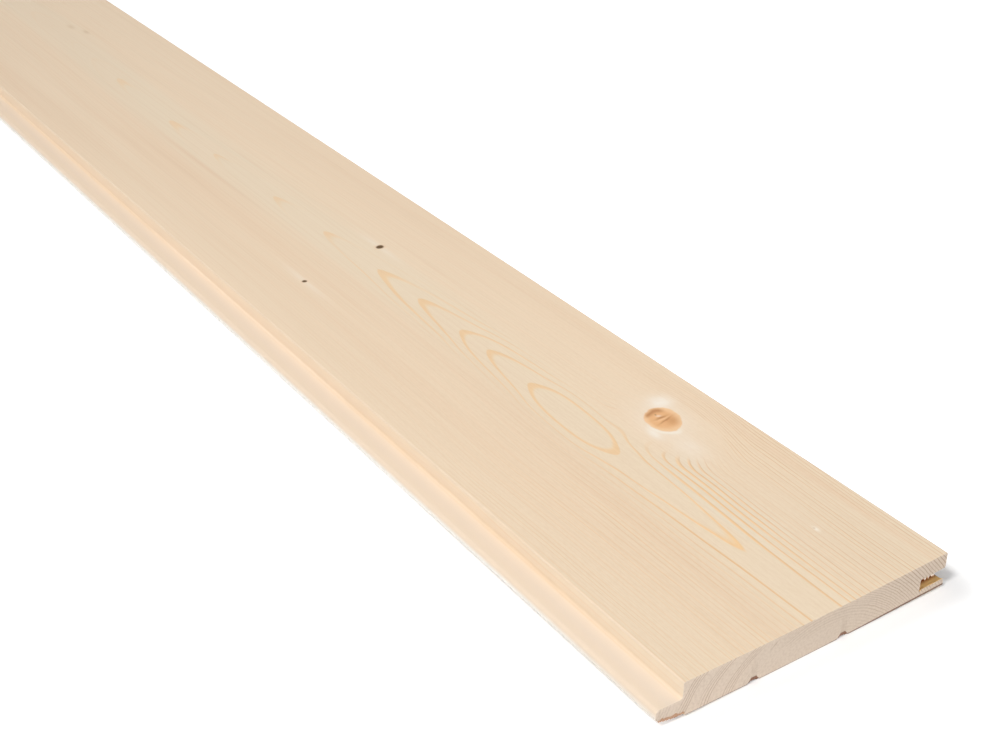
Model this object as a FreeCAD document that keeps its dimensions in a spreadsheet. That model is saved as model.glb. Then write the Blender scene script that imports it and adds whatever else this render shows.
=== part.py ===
import FreeCAD, Part
import math
import os
from types import SimpleNamespace

import Sketcher

# Tongue and groove board, planed from one piece of softwood.
# It lies on its back: +X along the board, +Y from the tongue to the groove, +Z out of the show face.
# The origin is under the middle of the board, on the plane of its back.

# Driving dimensions in millimetres: name, value and what it measures
DIMENSIONS = (
    ("board_length", 2400, "one end cut to the other"),
    ("board_thickness", 13, "back to show face"),
    ("cover_width", 110, "show face, from the tongue's shoulder to the end of the groove's lips"),
    ("tongue_length", 10, "shoulder to nose"),
    ("tongue_thickness", 4.3, "underside to top"),
    ("tongue_rise", 2.45, "back to the tongue's underside"),
    ("joint_clearance", 0.25, "play above and below a tongue in the next board's groove"),
    ("nose_clearance", 1.2, "play between a tongue's nose and the back of the groove"),
    ("back_setback", 1, "how far the shoulder under the tongue stands behind the one above it"),
    ("relief_inset", 28, "shoulder to the middle of the first relief groove"),
    ("relief_pitch", 37, "one relief groove to the next"),
    ("relief_mouth", 5, "width of a relief groove at the back"),
    ("relief_floor", 2, "width of a relief groove at its bottom"),
    ("relief_depth", 2, "depth of a relief groove"),
    ("relief_land", 4, "wood kept between the last relief groove and the joint groove's back"),
    ("shoulder_arris_radius", 0.7, "rounding of the show face over the tongue"),
    ("lip_arris_radius", 0.5, "rounding of the show face over the groove"),
    ("nose_radius", 1.5, "rounding of the tongue's nose"),
    ("groove_corner_radius", 0.5, "hollow in the two inner corners of the groove"),
    ("groove_mouth_radius", 0.75, "easing of the two lips where a tongue enters"),
    ("back_arris_radius", 0.4, "easing of the two long edges of the back"),
)

# Share of a wall's thickness that one rounding may take up, so two of them leave a flat between
ROUNDING_SHARE = 0.45

# How near an edge has to lie to its worked-out place to be taken for it
PLACE_TOLERANCE = 1e-4

# Where the section's datum, the foot of the tongue's shoulder, stands across the board
SECTION_DATUM = "(sizes.tongue_length - sizes.cover_width) / 2"


def add_sizes(doc):
    """Write the driving dimensions to a spreadsheet whose aliases drive every feature."""
    sheet = doc.addObject("Spreadsheet::Sheet", "sizes")
    for row, (name, value, meaning) in enumerate(DIMENSIONS, start=1):
        sheet.set(f"A{row}", name)
        sheet.set(f"B{row}", str(value))
        sheet.setAlias(f"B{row}", name)
        sheet.set(f"C{row}", meaning)
    doc.recompute()
    return sheet


def add_section_sketch(body, name):
    """Add a sketch across the board, with its origin at the foot of the tongue's shoulder."""
    sketch = body.newObject("Sketcher::SketchObject", name)
    across = next(plane for plane in body.Origin.OriginFeatures if plane.Role == "YZ_Plane")
    sketch.AttachmentSupport = [(across, "")]
    sketch.MapMode = "FlatFace"
    sketch.setExpression("AttachmentOffset.Base.x", SECTION_DATUM)
    return sketch


def draw_outline(sketch, corners):
    """Draw a closed outline of straight lines, each joined to the next and held level or upright."""
    count = len(corners)
    points = [FreeCAD.Vector(across, up, 0) for across, up in corners]
    for index, start in enumerate(points):
        sketch.addGeometry(Part.LineSegment(start, points[(index + 1) % count]), False)
    for index in range(count):
        sketch.addConstraint(Sketcher.Constraint("Coincident", index, 2, (index + 1) % count, 1))
        step = points[(index + 1) % count] - points[index]
        if step.y == 0:
            sketch.addConstraint(Sketcher.Constraint("Horizontal", index))
        elif step.x == 0:
            sketch.addConstraint(Sketcher.Constraint("Vertical", index))


def add_distance(sketch, name, direction, start, end, expression):
    """Dimension one corner from another, or from the datum, with a formula on the sheet.

    A corner is the number of the line that starts there. None stands for the datum.
    """
    first = (-1, 1) if start is None else (start, 1)
    last = (-1, 1) if end is None else (end, 1)
    index = sketch.addConstraint(Sketcher.Constraint(f"Distance{direction}", *first, *last, 1.0))
    sketch.renameConstraint(index, name)
    sketch.setExpression(f"Constraints.{name}", expression)


def section_places(size):
    """Work out where the section's faces stand, across from the shoulder and up from the back."""
    lip = size("cover_width")
    under_tongue = size("tongue_rise")
    over_tongue = under_tongue + size("tongue_thickness")
    return SimpleNamespace(
        face=size("board_thickness"),
        lip=lip,
        nose=-size("tongue_length"),
        under_tongue=under_tongue,
        over_tongue=over_tongue,
        back_shoulder=size("back_setback"),
        groove_floor=under_tongue - size("joint_clearance"),
        groove_roof=over_tongue + size("joint_clearance"),
        groove_back=lip - size("tongue_length") - size("nose_clearance"),
    )


def draw_board_section(sketch, size):
    """Draw the moulded section with square corners: tongue on the left, groove on the right."""
    at = section_places(size)
    corners = {
        "back_at_shoulder": (at.back_shoulder, 0),
        "back_at_lip": (at.lip, 0),
        "mouth_floor": (at.lip, at.groove_floor),
        "groove_floor": (at.groove_back, at.groove_floor),
        "groove_roof": (at.groove_back, at.groove_roof),
        "mouth_roof": (at.lip, at.groove_roof),
        "face_at_lip": (at.lip, at.face),
        "face_at_shoulder": (0, at.face),
        "tongue_root": (0, at.over_tongue),
        "nose_top": (at.nose, at.over_tongue),
        "nose_under": (at.nose, at.under_tongue),
        "tongue_under_root": (at.back_shoulder, at.under_tongue),
    }
    draw_outline(sketch, list(corners.values()))
    corner = {name: index for index, name in enumerate(corners)}

    # The back lies on the datum's level, and the shoulder and the two lips stand in line
    sketch.addConstraint(Sketcher.Constraint("PointOnObject", corner["back_at_shoulder"], 1, -1))
    sketch.addConstraint(Sketcher.Constraint("PointOnObject", corner["face_at_shoulder"], 1, -2))
    sketch.addConstraint(
        Sketcher.Constraint("Vertical", corner["mouth_floor"], 1, corner["mouth_roof"], 1)
    )

    groove_height = "sizes.tongue_thickness + 2 * sizes.joint_clearance"
    groove_depth = "sizes.tongue_length + sizes.nose_clearance"
    for name, direction, start, end, expression in (
        ("thickness", "Y", "back_at_lip", "face_at_lip", "sizes.board_thickness"),
        ("cover", "X", "face_at_shoulder", "face_at_lip", "sizes.cover_width"),
        ("tongue_reach", "X", "nose_top", "tongue_root", "sizes.tongue_length"),
        ("tongue_height", "Y", "nose_under", "nose_top", "sizes.tongue_thickness"),
        ("tongue_lift", "Y", "back_at_shoulder", "tongue_under_root", "sizes.tongue_rise"),
        ("setback", "X", None, "back_at_shoulder", "sizes.back_setback"),
        ("lower_lip", "Y", "back_at_lip", "mouth_floor", "sizes.tongue_rise - sizes.joint_clearance"),
        ("groove_height", "Y", "groove_floor", "groove_roof", groove_height),
        ("groove_depth", "X", "groove_floor", "mouth_floor", groove_depth),
    ):
        add_distance(sketch, name, direction, corner.get(start), corner.get(end), expression)


def draw_relief_section(sketch, size):
    """Draw one relief groove: a trapezoid cut into the back, wider at its mouth."""
    middle = size("relief_inset")
    mouth = size("relief_mouth") / 2
    floor = size("relief_floor") / 2
    depth = size("relief_depth")
    draw_outline(
        sketch,
        [(middle - mouth, 0), (middle + mouth, 0), (middle + floor, depth), (middle - floor, depth)],
    )
    mouth_left, mouth_right, floor_right, floor_left = range(4)
    flank = "(sizes.relief_mouth - sizes.relief_floor) / 2"
    sketch.addConstraint(Sketcher.Constraint("PointOnObject", mouth_left, 1, -1))
    for name, direction, start, end, expression in (
        ("inset", "X", None, mouth_left, "sizes.relief_inset - sizes.relief_mouth / 2"),
        ("mouth", "X", mouth_left, mouth_right, "sizes.relief_mouth"),
        ("flank", "X", mouth_left, floor_left, flank),
        ("floor", "X", floor_left, floor_right, "sizes.relief_floor"),
        ("depth", "Y", mouth_left, floor_left, "sizes.relief_depth"),
    ):
        add_distance(sketch, name, direction, start, end, expression)


def add_relief_grooves(body, size):
    """Plough the first relief groove along the whole back and repeat it as far as the land allows."""
    sketch = add_section_sketch(body, "relief_section")
    draw_relief_section(sketch, size)
    plough = body.newObject("PartDesign::Pocket", "relief_groove")
    plough.Profile = sketch
    plough.SideType = "Symmetric"
    plough.Type = "ThroughAll"
    body.Document.recompute()

    row = body.newObject("PartDesign::LinearPattern", "relief_row")
    row.Originals = [plough]
    row.Direction = (sketch, ["H_Axis"])
    row.Mode = "Spacing"
    row.setExpression("Offset", "sizes.relief_pitch")
    groove_back = "sizes.cover_width - sizes.tongue_length - sizes.nose_clearance"
    last_middle = f"{groove_back} - sizes.relief_land - sizes.relief_mouth / 2"
    more = f"floor(({last_middle} - sizes.relief_inset) / sizes.relief_pitch)"
    row.setExpression("Occurrences", f"1 + max(0; {more})")
    body.Tip = row
    body.Document.recompute()


def long_edges(shape, datum, places):
    """Name the edges that run along the board through the given places of its section."""
    found = []
    for index, edge in enumerate(shape.Edges, start=1):
        ends = [vertex.Point for vertex in edge.Vertexes]
        for across, up in places:
            if all(math.hypot(end.y - datum - across, end.z - up) < PLACE_TOLERANCE for end in ends):
                found.append(f"Edge{index}")
    if len(found) != len(places):
        raise RuntimeError(f"{len(places)} long edges wanted, {len(found)} found")
    return found


def limited(radius, wall):
    """Give the formula of a radius that leaves a flat on the wall it is cut into."""
    return f"min({radius}; {ROUNDING_SHARE} * {wall})"


def round_edges(body, name, datum, places, radius):
    """Round the long edges at the given places of the section to a radius worked out from the sheet."""
    base = body.Tip
    rounding = body.newObject("PartDesign::Fillet", name)
    rounding.Base = (base, long_edges(base.Shape, datum, places))
    rounding.setExpression("Radius", radius)
    body.Document.recompute()


def add_roundings(body, size):
    """Round the arrises, the tongue and the groove as the moulding cutters leave them."""
    at = section_places(size)
    datum = body.getObject("board_section").AttachmentOffset.Base.x
    shoulder_wall = "(sizes.board_thickness - sizes.tongue_rise - sizes.tongue_thickness)"
    lower_lip = "(sizes.tongue_rise - sizes.joint_clearance)"
    groove_wall = "(sizes.tongue_thickness + 2 * sizes.joint_clearance)"
    mouth_radius = limited("sizes.groove_mouth_radius", lower_lip)

    # The next board's eased lip has to bed in the cove with the joint's play, or the joint stays open
    cove_radius = limited(f"{mouth_radius} + sizes.joint_clearance", shoulder_wall)

    nose_edges = [(at.nose, at.over_tongue), (at.nose, at.under_tongue)]
    inner_corners = [(at.groove_back, at.groove_floor), (at.groove_back, at.groove_roof)]
    mouth_edges = [(at.lip, at.groove_floor), (at.lip, at.groove_roof)]
    back_edges = [(at.back_shoulder, 0), (at.lip, 0)]
    for name, places, radius in (
        ("shoulder_arris", [(0, at.face)], limited("sizes.shoulder_arris_radius", shoulder_wall)),
        ("shoulder_cove", [(0, at.over_tongue)], cove_radius),
        ("lip_arris", [(at.lip, at.face)], limited("sizes.lip_arris_radius", shoulder_wall)),
        ("nose", nose_edges, limited("sizes.nose_radius", "sizes.tongue_thickness")),
        ("groove_corners", inner_corners, limited("sizes.groove_corner_radius", groove_wall)),
        ("groove_mouth", mouth_edges, mouth_radius),
        ("back_arris", back_edges, limited("sizes.back_arris_radius", lower_lip)),
    ):
        round_edges(body, name, datum, places, radius)


def build_board(doc, sheet):
    """Make the board: the moulded section run to length, then relief grooves and roundings."""

    def size(name):
        return float(sheet.get(name))

    body = doc.addObject("PartDesign::Body", "board")
    section = add_section_sketch(body, "board_section")
    draw_board_section(section, size)
    plank = body.newObject("PartDesign::Pad", "plank")
    plank.Profile = section
    plank.SideType = "Symmetric"
    plank.setExpression("Length", "sizes.board_length")
    doc.recompute()

    add_relief_grooves(body, size)
    if body.Shape.Volume >= plank.Shape.Volume:
        raise RuntimeError("the relief grooves cut nothing")
    add_roundings(body, size)
    return body


def check_document(doc):
    """Stop if any feature failed to build or any solid is empty or not valid."""
    for item in doc.Objects:
        if "Invalid" in item.State or "Error" in item.State:
            raise RuntimeError(f"{item.Name} did not build: {item.State}")
        shape = getattr(item, "Shape", None)
        if item.isDerivedFrom("PartDesign::Feature") and (shape.isNull() or not shape.isValid()):
            raise RuntimeError(f"{item.Name} has no valid shape")


def main():
    """Build the board and write it as a STEP file."""
    os.makedirs("parts", exist_ok=True)
    doc = FreeCAD.newDocument("tongue_and_groove_board")
    sheet = add_sizes(doc)
    board = build_board(doc, sheet)
    doc.recompute()
    check_document(doc)
    if board.Shape.isNull() or not board.Shape.isValid() or len(board.Shape.Solids) != 1:
        raise RuntimeError("the board is not one valid solid")
    board.Shape.exportStep(f"parts/{board.Label}.step")
    box = board.Shape.BoundBox
    print(f"{board.Label}: {box.XLength:.1f} x {box.YLength:.1f} x {box.ZLength:.1f} mm, "
          f"{board.Shape.Volume / 1e6:.4f} litres, {len(board.Shape.Faces)} faces")


main()
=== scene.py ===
"""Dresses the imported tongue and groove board: one length of planed spruce on a white studio floor.

The board keeps the solid's section and length. This script adds the looks that the solid leaves out:
the growth rings and knots of the wood, the fibres torn out by the saw at the ends and the slight cup
of a board that has dried.
"""

from __future__ import annotations

import logging
import math
import random
from dataclasses import dataclass, field
from enum import Enum

import bmesh
import bpy
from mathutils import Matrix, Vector


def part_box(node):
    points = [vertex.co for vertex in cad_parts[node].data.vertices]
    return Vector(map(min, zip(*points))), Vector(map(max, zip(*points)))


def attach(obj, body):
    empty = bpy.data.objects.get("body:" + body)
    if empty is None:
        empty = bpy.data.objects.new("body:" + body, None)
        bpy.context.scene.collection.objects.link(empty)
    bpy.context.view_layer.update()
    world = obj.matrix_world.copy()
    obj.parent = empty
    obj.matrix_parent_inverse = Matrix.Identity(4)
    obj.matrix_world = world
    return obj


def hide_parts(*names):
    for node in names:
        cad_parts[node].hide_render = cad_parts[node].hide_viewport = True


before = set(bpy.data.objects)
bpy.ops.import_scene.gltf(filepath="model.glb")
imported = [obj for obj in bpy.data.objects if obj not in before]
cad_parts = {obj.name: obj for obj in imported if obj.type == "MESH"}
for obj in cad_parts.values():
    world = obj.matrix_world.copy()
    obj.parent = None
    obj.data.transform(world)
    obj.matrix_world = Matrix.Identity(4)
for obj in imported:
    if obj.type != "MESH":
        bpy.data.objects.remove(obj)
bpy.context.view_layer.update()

LOG = logging.getLogger("board")
MM = 0.001
BOARD_NODE = "board"
BODY = "root"
Socket = bpy.types.NodeSocket
Solid = bmesh.types.BMesh
Spot = tuple[int, int]


def srgb(red: int, green: int, blue: int) -> tuple[float, float, float, float]:
    """Turns a colour as a screen shows it into the light that a shader works with.

    Args:
        red: Red, from 0 to 255.
        green: Green, from 0 to 255.
        blue: Blue, from 0 to 255.

    Returns:
        The linear colour, with an alpha of 1.
    """
    shares = [channel / 255 for channel in (red, green, blue)]
    linear = [s / 12.92 if s <= 0.04045 else ((s + 0.055) / 1.055) ** 2.4 for s in shares]
    return (linear[0], linear[1], linear[2], 1)


class Sum(Enum):
    """The sums that a Wire can do."""

    ADD = "ADD"
    TAKE = "SUBTRACT"
    TIMES = "MULTIPLY"
    OVER = "DIVIDE"
    LEAST = "MINIMUM"
    MOST = "MAXIMUM"
    FLOOR = "FLOOR"
    FRACTION = "FRACT"
    ROOT = "SQRT"
    EXP = "EXPONENT"
    SIZE = "ABSOLUTE"
    COSINE = "COSINE"


class Wire:
    """A number carried by a node's output, so that a pattern reads as a sum."""

    def __init__(self, graph: Graph, socket: Socket) -> None:
        """Keeps the graph and the output that carries the number."""
        self.graph = graph
        self.socket = socket

    def __add__(self, other: Wire | float) -> Wire:
        """Adds."""
        return self.graph.sum(Sum.ADD, self, other)

    def __sub__(self, other: Wire | float) -> Wire:
        """Takes away."""
        return self.graph.sum(Sum.TAKE, self, other)

    def __rsub__(self, other: float) -> Wire:
        """Takes this away from a number."""
        return self.graph.sum(Sum.TAKE, other, self)

    def __mul__(self, other: Wire | float) -> Wire:
        """Multiplies."""
        return self.graph.sum(Sum.TIMES, self, other)

    def __truediv__(self, other: Wire | float) -> Wire:
        """Divides."""
        return self.graph.sum(Sum.OVER, self, other)

    __radd__ = __add__
    __rmul__ = __mul__

    def apply(self, operation: Sum, other: Wire | float = 0) -> Wire:
        """Does any other sum, with a second number where the sum has one."""
        return self.graph.sum(operation, self, other)

    def smooth(self, low: Wire | float, high: Wire | float) -> Wire:
        """Rises smoothly from 0 at low to 1 at high.

        Args:
            low: Where the rise starts.
            high: Where it ends.

        Returns:
            A number from 0 to 1.
        """
        inputs = {"Value": self, "From Min": low, "From Max": high}
        node = self.graph.add("MapRange", inputs, interpolation_type="SMOOTHSTEP")
        return Wire(self.graph, node.outputs["Result"])

    def between(self, low: Wire | float, high: Wire | float) -> Wire:
        """Turns 0 to 1 into low to high."""
        return low + self * (high - low) if isinstance(high, Wire) else self * (high - low) + low

    def bell(self, width: float) -> Wire:
        """Is 1 where this is 0 and falls away over about width on both sides."""
        share = self / width
        return (share * share * -1).apply(Sum.EXP)


class Graph:
    """Adds shader nodes to one material and joins them."""

    def __init__(self, tree: bpy.types.NodeTree) -> None:
        """Keeps the tree and empties it."""
        self.tree = tree
        self.tree.nodes.clear()

    def feed(self, socket: Socket, value: object) -> None:
        """Joins a wire or an output to an input, or sets the input's own value.

        Args:
            socket: The input.
            value: A Wire, an output, a number, a vector or a colour.
        """
        if isinstance(value, Wire):
            self.tree.links.new(value.socket, socket)
        elif isinstance(value, Socket):
            self.tree.links.new(value, socket)
        else:
            socket.default_value = value

    def add(self, kind: str, inputs: dict | None = None, **settings: object) -> bpy.types.Node:
        """Adds a node.

        Args:
            kind: The shader node's type name, after the words that all of them start with.
            inputs: What goes into its inputs, by name or number.
            settings: The node's own settings.

        Returns:
            The node.
        """
        node = self.tree.nodes.new("ShaderNode" + kind)
        for name, value in settings.items():
            setattr(node, name, value)
        for name, value in (inputs or {}).items():
            self.feed(node.inputs[name], value)
        return node

    def sum(self, operation: Sum, first: Wire | float, second: Wire | float = 0) -> Wire:
        """Adds a Math node that does one sum of two numbers."""
        node = self.add("Math", {0: first, 1: second}, operation=operation.value)
        return Wire(self, node.outputs[0])

    def curve(self, value: Wire, low: float, high: float, top: float, points: tuple) -> Wire:
        """Adds a smooth curve through a few points.

        Args:
            value: Where on the curve.
            low: The value at the curve's start.
            high: The value at its end.
            top: The largest height on the curve.
            points: Pairs of value and height.

        Returns:
            The height.
        """
        node = self.add("FloatCurve", {"Value": (value - low) / (high - low)})
        line = node.mapping.curves[0]
        shares = [((place - low) / (high - low), height / top) for place, height in points]
        line.points[0].location = shares[0]
        line.points[1].location = shares[-1]
        for share in shares[1:-1]:
            line.points.new(*share)
        node.mapping.update()
        return Wire(self, node.outputs["Value"]) * top

    def chance(self, number: Wire) -> tuple[Wire, Wire, Wire]:
        """Gives three chance numbers from 0 to 1 that depend only on number."""
        node = self.add("TexWhiteNoise", {"W": number}, noise_dimensions="1D")
        parts = self.add("SeparateColor", {"Color": node.outputs["Color"]})
        return tuple(Wire(self, output) for output in parts.outputs)

    def blend(self, share: Wire, first: object, second: object) -> Socket:
        """Mixes two colours.

        Args:
            share: How much of the second, from 0 to 1.
            first: A colour or an output.
            second: A colour or an output.

        Returns:
            The mixed colour.
        """
        node = self.add("Mix", data_type="RGBA", clamp_factor=True)
        self.feed(node.inputs[0], share)
        self.feed(node.inputs[6], first)
        self.feed(node.inputs[7], second)
        return node.outputs[2]

    def layer(self, colour: object, *coats: tuple[Wire, object]) -> Socket:
        """Lays coats over a colour.

        Args:
            colour: The colour under them.
            coats: The share and the colour of each coat, in order.

        Returns:
            The colour with its coats.
        """
        for share, coat in coats:
            colour = self.blend(share, colour, coat)
        return colour


class Place:
    """A point in the wood, in millimetres, as the material's nodes carry it."""

    def __init__(self, graph: Graph, cup_rate: float) -> None:
        """Reads the object's own coordinates and splits them.

        Args:
            graph: The material's nodes.
            cup_rate: How far the cup lifts a point, for each square millimetre from the board's middle.
        """
        self.graph = graph
        own = graph.add("TexCoord").outputs["Object"]
        scaled = graph.add("VectorMath", {0: own, 1: (1 / MM,) * 3}, operation="MULTIPLY")
        self.vector = scaled.outputs[0]
        parts = graph.add("SeparateXYZ", {0: self.vector})
        self.x, self.y, self.z = (Wire(graph, output) for output in parts.outputs)
        self.level = self.z - self.y * self.y * cup_rate

    def noise(self, stretch: tuple, detail: float = 2.0, shift: float = 0.0) -> Wire:
        """Gives cloudy noise at this place.

        Args:
            stretch: How many waves each millimetre has along X, Y and Z.
            detail: How much finer noise is added.
            shift: Moves the noise, so that two noises differ.

        Returns:
            A number around 0.5.
        """
        moved = {"Vector": self.vector, "Scale": stretch, "Location": (shift,) * 3}
        place = self.graph.add("Mapping", moved)
        waves = {"Vector": place.outputs[0], "Scale": 1, "Detail": detail}
        return Wire(self.graph, self.graph.add("TexNoise", waves).outputs[0])


@dataclass(frozen=True)
class Knot:
    """A branch that the board was sawn across. Places and sizes are in millimetres on the show face."""

    x: float
    y: float
    length: float
    width: float
    turn: float
    lean_x: float
    lean_y: float


@dataclass(frozen=True)
class Patch:
    """A soft oval patch on the show face, in millimetres."""

    x: float
    y: float
    length: float
    width: float
    strength: float

    def cover(self, at: Place) -> Wire:
        """Is the patch's strength at its middle, and fades out past its sides."""
        return (at.x - self.x).bell(self.length) * (at.y - self.y).bell(self.width) * self.strength


@dataclass(frozen=True)
class PlanedSpruce:
    """Pale planed spruce: growth rings round a heart below the board, a live knot and two pin knots.

    Lengths are in millimetres. The rings are one solid pattern, so the face, the edges, the back and
    the sawn ends agree with each other.
    """

    face_height: float
    half_length: float
    shoulder: float
    groove_back: float
    groove_mouth: float
    groove_floor: float
    groove_roof: float
    tongue_rise: float
    relief_middles: tuple
    cup_rate: float
    cream: tuple = srgb(240, 217, 189)
    pale: tuple = srgb(236, 219, 193)
    fan_pale: tuple = srgb(232, 218, 197)
    sapwood: tuple = srgb(226, 209, 190)
    # Painted light: the tongue's nose, lightened on its lower rounding as if lit by the white floor.
    nose_painted_light: tuple = srgb(246, 241, 234)
    # Painted shade: a darker, warmer tone in the cove at the foot of the shoulder.
    cove_painted_shade: tuple = srgb(218, 190, 152)
    blush: tuple = srgb(231, 201, 171)
    # Painted shade: damps the light caught by the rounded shoulder edge and the rounding before the nose.
    arris_painted_shade: tuple = srgb(222, 201, 177)
    dull: tuple = srgb(224, 208, 184)
    late: tuple = srgb(243, 205, 156)
    ring_edge: tuple = srgb(208, 170, 134)
    end_cream: tuple = srgb(205, 189, 172)
    end_pale: tuple = srgb(213, 196, 179)
    end_late: tuple = srgb(160, 134, 113)
    # Torn fibres coloured with painted shade, as the wood under the tongue looks in its shadow.
    torn: tuple = srgb(174, 122, 84)
    # Partly torn fibres, partly painted shadow: the dark strip along the bottom edge of a sawn end.
    torn_and_shadow_dark: tuple = srgb(104, 72, 54)
    # Painted shade inside the relief grooves close to the sawn ends.
    notch_painted_shade: tuple = srgb(125, 84, 62)
    fibre_tip: tuple = srgb(236, 221, 208)
    # Painted shade deep in the groove.
    groove_painted_shade: tuple = srgb(132, 56, 16)
    # Painted bounce light in the groove.
    groove_painted_glow: tuple = srgb(255, 214, 140)
    halo: tuple = srgb(247, 236, 221)
    stain: tuple = srgb(205, 172, 132)
    knot_rim: tuple = srgb(242, 202, 158)
    knot_wood: tuple = srgb(233, 182, 132)
    knot_dark: tuple = srgb(180, 120, 70)
    pin_dark: tuple = srgb(96, 70, 40)
    heart_depth: float = 40.0
    ring_width: float = 0.65
    wide_ring: float = 1.12
    ring_easing: float = 6.0
    inner_ring: float = 1.1
    ring_seed: float = 3.5
    knot: Knot = Knot(1085.8, 34.9, 17.2, 13.6, -22, -0.30, 0.80)
    pins: tuple = (
        Knot(901.8, 22.5, 4.2, 4.3, 0, 0, 0.45),
        Knot(912.8, -21, 2.5, 2.6, 0, 0, -0.9),
    )
    halos: tuple = (
        Patch(1075.6, 42.3, 4.2, 4.6, 1),
        Patch(1091, 26.9, 3.8, 1.8, 1),
        Patch(1086, 35, 12, 9.5, 0.45),
        Patch(1105.5, 31.5, 9, 5, 0.42),
    )
    bands: tuple = (
        Patch(775, -3.4, 60, 1.6, 0.60),
        Patch(760, -14, 80, 2.4, 0.35),
        Patch(715, -21, 90, 2.4, 0.35),
        Patch(850, -17, 70, 3, 0.25),
        Patch(1150, 54, 60, 2, 0.50),
        Patch(920, 31.2, 30, 0.8, 0.30),
        Patch(785, 18.6, 25, 0.8, 0.30),
    )
    stains: tuple = (
        Patch(540, 25.4, 4, 1.3, 0.45),
        Patch(525, 21.4, 4.5, 1.6, 0.35),
    )
    speck: Patch = Patch(1166.3, 34.4, 1.5, 0.7, 0.9)
    ring_tips: tuple = (
        (600, 11.6), (637, 11), (705, 10), (758, 9), (822, 8), (870.3, 7),
        (918.4, 6), (951, 5), (985, 4), (1004.5, 3), (1034.5, 2), (1065.5, 1.06),
        (1096.5, 2), (1104, 2.25), (1118, 2.45), (1130, 2.59), (1147, 2.78),
        (1155, 2.87), (1160, 2.94), (1169, 3.03), (1200, 3.15),
    )
    far_tips: tuple = (
        (-1200, 6), (-1000, 4), (-800, 1.4), (-700, 0.6), (-600, 1.6), (-400, 4.5),
        (-100, 7.5), (200, 8.5), (430, 6.8), (520, 5.9), (600, 5),
    )
    crest_peak: float = 970.0
    crest_wave: float = 460.0
    crest_swing: float = 2.0
    crest_middle: float = 8.1
    swelling_rings: float = 4.9
    past_knot: tuple = (1098, 1112)
    fan_start: tuple = (1098, 1116)
    fan_end: tuple = (1178, 1150)
    near_end: tuple = (1110, 1180)
    gloss: float = 0.2
    roughness: float = 0.47
    relief: float = 0.00012
    relief_strength: float = 0.35

    def build(self) -> bpy.types.Material:
        """Makes the material.

        Returns:
            The finished wood.
        """
        material = bpy.data.materials.new("planed_spruce")
        material.use_nodes = True
        graph = Graph(material.node_tree)
        at = Place(graph, self.cup_rate)
        rings, aside = self.rings(at)
        sawn = at.x.apply(Sum.SIZE).smooth(self.half_length - 0.16, self.half_length - 0.04)
        colour, late, fibre = self.grain(at, rings, aside)
        colour, hard = self.knots(at, colour)
        colour, groove_paint_zone = self.paint_groove_light_and_shade(at, colour)
        colour = self.paint_torn_shade(at, colour)
        colour = graph.blend(sawn, colour, self.end_grain(at, rings))
        speckle = at.noise((0.05, 3.4, 3.4), 3, 31)
        height = fibre * 0.6 + speckle * 0.5 + late * 0.35 - hard * 0.1 + sawn * speckle * 0.8
        raised = {"Height": height, "Distance": self.relief, "Strength": self.relief_strength}
        bump = graph.add("Bump", raised).outputs[0]
        rough = fibre * 0.16 - late * 0.08 - hard * 0.1 + sawn * 0.22 + groove_paint_zone * 0.4 + self.roughness
        looks = {"Base Color": colour, "Roughness": rough, "Normal": bump, "Specular IOR Level": self.gloss}
        shader = graph.add("BsdfPrincipled", looks)
        graph.add("OutputMaterial", {"Surface": shader.outputs[0]})
        return material

    def rings(self, at: Place) -> tuple[Wire, Wire]:
        """Numbers the growth rings at every point of the wood.

        Args:
            at: The place in the wood.

        Returns:
            The ring number, whole at the end of each year, and the distance from the crest line.
        """
        depth = at.z - self.face_height
        wave = (at.x - self.crest_peak) * (2 * math.pi / self.crest_wave)
        crest = wave.apply(Sum.COSINE) * self.crest_swing + self.crest_middle
        wander = at.noise((0.0026, 0.004, 0.004), 1, 7) - 0.5
        crest = crest + at.x.smooth(1100, 1130) * 0.65 + at.x.smooth(1100, 1000) * 1.5
        aside = at.y - crest + wander * 10 * at.x.smooth(900, 500)
        below = depth + self.heart_depth
        out = (aside * aside + below * below).apply(Sum.ROOT) - self.heart_depth
        outer = out.apply(Sum.MOST, 0)
        crowding = self.ring_easing * (1 / self.ring_width - 1 / self.wide_ring)
        spread = outer / self.wide_ring + (1 - (outer / -self.ring_easing).apply(Sum.EXP)) * crowding
        inner = out.apply(Sum.LEAST, 0) / self.inner_ring
        near = at.graph.curve(at.x, 600, 1200, 13, self.ring_tips)
        far = at.graph.curve(at.x, -1200, 600, 10, self.far_tips) - 5
        slow = at.noise((0.005, 0.035, 0.035), 2, 3) - 0.5
        quick = at.noise((0.03, 0.22, 0.22), 2, 11) - 0.5
        apart = aside.apply(Sum.SIZE).smooth(4, 22)
        stray = slow * apart.between(0.3, 1.5) + quick * apart.between(0.12, 0.6)
        bulge = (at.level - 0.5) * (at.level - self.face_height) * 0.0225
        bulge = bulge * at.y.smooth(-16, -24) * at.y.smooth(-50, -42)
        number = near + far * at.x.smooth(700, 560) + spread + inner + stray + bulge
        return number - self.swelling(at, depth), aside

    def swelling(self, at: Place, depth: Wire) -> Wire:
        """Bends the rings round the knots.

        Args:
            at: The place in the wood.
            depth: Height over the show face, which is below zero.

        Returns:
            How many rings the wood is pushed out.
        """
        along = at.x - self.knot.x - depth * self.knot.lean_x - 2.7
        across = at.y - self.knot.y - depth * self.knot.lean_y - 1.1
        above = across.apply(Sum.MOST, 0) / 24
        under = across.apply(Sum.LEAST, 0) / 19
        ahead = along.apply(Sum.MOST, 0) / 35
        behind = along.apply(Sum.LEAST, 0) / 30
        reach = (ahead * ahead + behind * behind + above * above + under * under).apply(Sum.ROOT)
        pushed = reach.smooth(1.1, 0.25) * self.swelling_rings
        for pin in self.pins:
            pin_along = (at.x - pin.x).bell(14)
            pin_across = (at.y - pin.y - depth * pin.lean_y).bell(4)
            pushed = pushed + pin_along * pin_across * 0.9
        return pushed

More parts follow.
